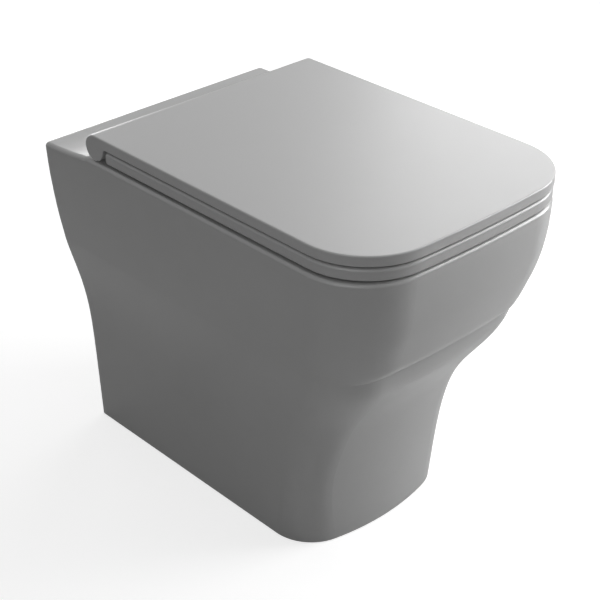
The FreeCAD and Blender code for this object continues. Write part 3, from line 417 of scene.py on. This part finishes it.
def sleeve_nuts():
    """Brass hexagon nuts, corners turned off at both ends."""
    boxes = solids("sleeve_nuts")
    low, high = boxes[0]
    corner, height = (high.x - low.x) / 2, high.z - low.z
    bore, chamfer, face, overcut = 0.0031, 0.0007, corner * 0.9, 0.001
    foot = foot_of(boxes[0])
    rings = [(face, 0), (corner, chamfer), (corner, height - chamfer), (face, height)]
    nut = turned("sleeve_nut_1", foot, rings, sides=6)
    bore_rings = [(bore, -overcut), (bore, height + overcut)]
    cut_out(nut, turned("nut_bore", foot, bore_rings, sides=40))
    softened(nut, 0.0002, 2)
    repeated(nut, "sleeve_nuts", "pan", boxes, "sleeve_nut")


def expansion_sleeves():
    """Rubber sleeves in the hinge holes, ribbed where they swell under the deck."""
    boxes = solids("expansion_sleeves")
    low, high = boxes[0]
    swell, height = (high.x - low.x) / 2, high.z - low.z
    neck, bore, shoulder, slope = 0.0077, 0.0032, 0.015, 0.0004
    ribs, rib_pitch, groove = 5, 0.0024, swell - 0.0007
    ramp, floor, end = 0.0006, 0.0012, 0.0018
    foot_taper, foot_height, neck_taper, neck_height = 0.0014, 0.0012, 0.0006, 0.0008
    rings = [(swell - foot_taper, 0.0), (swell, foot_height)]
    for rib in range(ribs):
        level = rib_pitch + rib * rib_pitch
        rings += [(swell, level), (groove, level + ramp), (groove, level + floor)]
        rings += [(swell, level + end)]
    rings += [(swell, shoulder - slope), (neck, shoulder), (neck, height - neck_height)]
    rings += [(neck - neck_taper, height), (bore, height), (bore, 0.0)]
    sleeve = turned("expansion_sleeve_1", foot_of(boxes[0]), rings, bored=True)
    softened(sleeve, 0.0002, 2)
    repeated(sleeve, "expansion_sleeves", "pan", boxes, "expansion_sleeve")


def rubber_pads():
    """Crowned pads under the seat and under the lid."""
    boxes = solids("seat_buffers", rows=True)
    first = dome("seat_buffer_1", boxes[0], 0.45)
    repeated(first, "seat_buffers", "seat", boxes, "seat_buffer")
    boxes = solids("lid_buffers", rows=True)
    first = dome("lid_buffer_1", boxes[0], 0.4)
    repeated(first, "lid_buffers", "lid", boxes, "lid_buffer")


def inlet_seal():
    """Rubber connector behind the inlet: grooved collar, sealing rings in its bore."""
    low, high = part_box("inlet_seal")
    foot = Vector(((low[0] + high[0]) / 2, low[1], (low[2] + high[2]) / 2))
    collar, length = (high[0] - low[0]) / 2, high[1] - low[1]
    sleeve, throat, bore, shoulder, step = 0.0272, 0.0242, 0.0223, 0.026, 0.028
    grooves, pitch, first_outer, first_inner = 3, 0.0052, 0.005, 0.0044
    outer, inner = collar - 0.0012, bore + 0.0011
    ramp, floor, end = 0.0008, 0.002, 0.0028
    tip_taper, tip_height, back_taper, back_height = 0.0011, 0.0014, 0.0008, 0.0009
    rim_taper, rim_height, mouth_taper, mouth_depth = 0.0014, 0.0016, 0.0022, 0.002
    rings = [(sleeve - tip_taper, 0.0), (sleeve, tip_height), (sleeve, shoulder)]
    rings += [(collar - back_taper, shoulder), (collar, shoulder + back_height)]
    for groove in range(grooves):
        level = shoulder + first_outer + groove * pitch
        rings += [(collar, level), (outer, level + ramp), (outer, level + floor)]
        rings += [(collar, level + end)]
    rings += [(collar, length - rim_height), (collar - rim_taper, length)]
    rings += [(bore + mouth_taper, length), (bore, length - mouth_depth)]
    for groove in range(grooves):
        level = length - first_inner - groove * pitch
        rings += [(bore, level), (inner, level - ramp), (inner, level - floor)]
        rings += [(bore, level - end)]
    rings += [(bore, step), (throat, step), (throat, 0.0)]
    seal = turned("inlet_connector", foot, rings, "Y", 96, bored=True)
    fitted(softened(seal, 0.0004, 2), "inlet_seal", "pan")


def release_button(side):
    """Thumb button in a hinge block, with a sunk pad of grip ridges."""
    node = f"release_button_{side}"
    margin, sink, ridge_height, columns, edge_round = 0.0004, 0.0003, 0.00025, 8, 0.0005
    facing, flush = 0.999, 1e-5
    low, high = (Vector(corner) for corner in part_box(node))
    middle_point = (low + high) / 2
    bpy.ops.object.select_all(action="DESELECT")
    bpy.ops.mesh.primitive_cube_add(size=1, location=middle_point)
    button = bpy.context.object
    button.name = f"thumb_button_{side}"
    bpy.ops.object.mode_set(mode="EDIT")
    bpy.ops.transform.resize(value=high - low, center_override=middle_point)
    bpy.ops.object.mode_set(mode="OBJECT")
    bpy.ops.object.transform_apply(location=True, rotation=True, scale=True)
    softened(button, edge_round, 3)
    pick(button, lambda middle, normal: normal.y > facing)
    bpy.ops.mesh.inset(thickness=margin)
    bpy.ops.mesh.extrude_region_move(TRANSFORM_OT_translate={"value": (0, -sink, 0)})
    bpy.ops.mesh.subdivide(number_cuts=columns)
    bpy.ops.object.mode_set(mode="OBJECT")
    floor = high.y - sink
    faces = button.data.polygons
    pad = [face.center.x for face in faces if abs(face.center.y - floor) < flush]
    left, right = min(pad), max(pad)

    def ridge(middle, normal):
        column = round((middle.x - left) / (right - left) * columns)
        on_pad = normal.y > facing and abs(middle.y - floor) < flush
        return on_pad and column % 2 == 1

    pick(button, ridge)
    bpy.ops.mesh.extrude_region_move(TRANSFORM_OT_translate={"value": (0, ridge_height, 0)})
    bpy.ops.object.mode_set(mode="OBJECT")
    fitted(button, node, f"button_{side}")


hinge_screws()
sleeve_nuts()
expansion_sleeves()
rubber_pads()
inlet_seal()
for button_side in ("left", "right"):
    release_button(button_side)


def ray_kinds(tree):
    """Wires that are 1 on camera, glossy and transmission rays."""
    path = tree.nodes.new("ShaderNodeLightPath")
    kinds = ("Camera", "Glossy", "Transmission")
    return [Wire(tree, path.outputs[f"Is {kind} Ray"]) for kind in kinds]


def lamp(name, place, aim, size, power, roll=0):
    """A soft rectangular lamp that faces its aim, rolled about its own axis."""
    data = bpy.data.lights.new(name, "AREA")
    data.shape = "RECTANGLE"
    data.size, data.size_y = size
    data.energy = power
    lit = bpy.data.objects.new(name, data)
    lit.location = place
    turn = (Vector(aim) - Vector(place)).to_track_quat("-Z", "Y")
    lit.rotation_euler = (turn @ Quaternion((0, 0, 1), math.radians(roll))).to_euler()
    scene.collection.objects.link(lit)


def studio():
    """Pale floor, white surround, soft key from the right and weaker lamps round about."""
    floor_in_gloss, floor_glow = 0.2, 0.72
    surround_in_gloss, surround_glow, ambient = 0.8, 0.85, 0.08
    bpy.ops.mesh.primitive_plane_add(size=14)
    floor = bpy.context.object
    floor.name = "studio_floor"
    surface = Finish("studio_floor", {"Roughness": 0.9, "Specular IOR Level": 0.1})
    straight, mirrored, through = ray_kinds(surface.material.node_tree)
    seen = straight + mirrored * floor_in_gloss + through
    surface.set("Base Color", seen.mix(grey(0.4), grey(0.5)))
    surface.set("Emission Color", seen.mix(grey(0.0), grey(floor_glow)))
    surface.shader.inputs["Emission Strength"].default_value = 1.0
    floor.data.materials.append(surface.material)

    world = bpy.data.worlds.new("studio_surround")
    world.use_nodes = True
    scene.world = world
    tree = world.node_tree
    background = tree.nodes["Background"]
    background.inputs["Color"].default_value = grey(1.0)
    straight, mirrored, through = ray_kinds(tree)
    shown = straight + mirrored * surround_in_gloss + through
    strength = ambient + shown * surround_glow
    tree.links.new(strength.socket, background.inputs["Strength"])

    # Name, place, aim, width and height, watts and degrees of roll
    lamp("key", (1.2, -0.75, 0.75), (0, 0, 0.1), (0.8, 0.8), 14)
    lamp("rear", (2.0, 0.68, 1.5), (0, 0, 0.4), (1.8, 1.2), 13.5)
    lamp("fill", (-1.6, -0.8, 1.2), (0, 0, 0.25), (1.4, 1.4), 5.5)
    lamp("strip", (1.0, -1.05, 1.4), (0, -0.25, 0.45), (0.16, 1.4), 5.5, -37)
    lamp("top", (0.4, 0.0, 2.6), (0, 0, 0.4), (2.0, 2.0), 13)
    lamp("wall_side", (0.3, 2.0, 0.4), (0, 0.2, 0.25), (1.4, 0.7), 9)


def camera():
    """The photograph's view: a long lens from the front left, looking down on the lid."""
    data = bpy.data.cameras.new("view")
    data.sensor_width = 36.0
    data.lens = 89.87
    seat = bpy.data.objects.new("view", data)
    ahead = Vector((0.58918, 0.62522, -0.51182))
    seat.location = (-1.08985, -1.14859, 1.19277)
    seat.rotation_euler = ahead.to_track_quat("-Z", "Y").to_euler()
    scene.collection.objects.link(seat)
    scene.camera = seat


studio()
camera()
scene.view_settings.view_transform = "Standard"
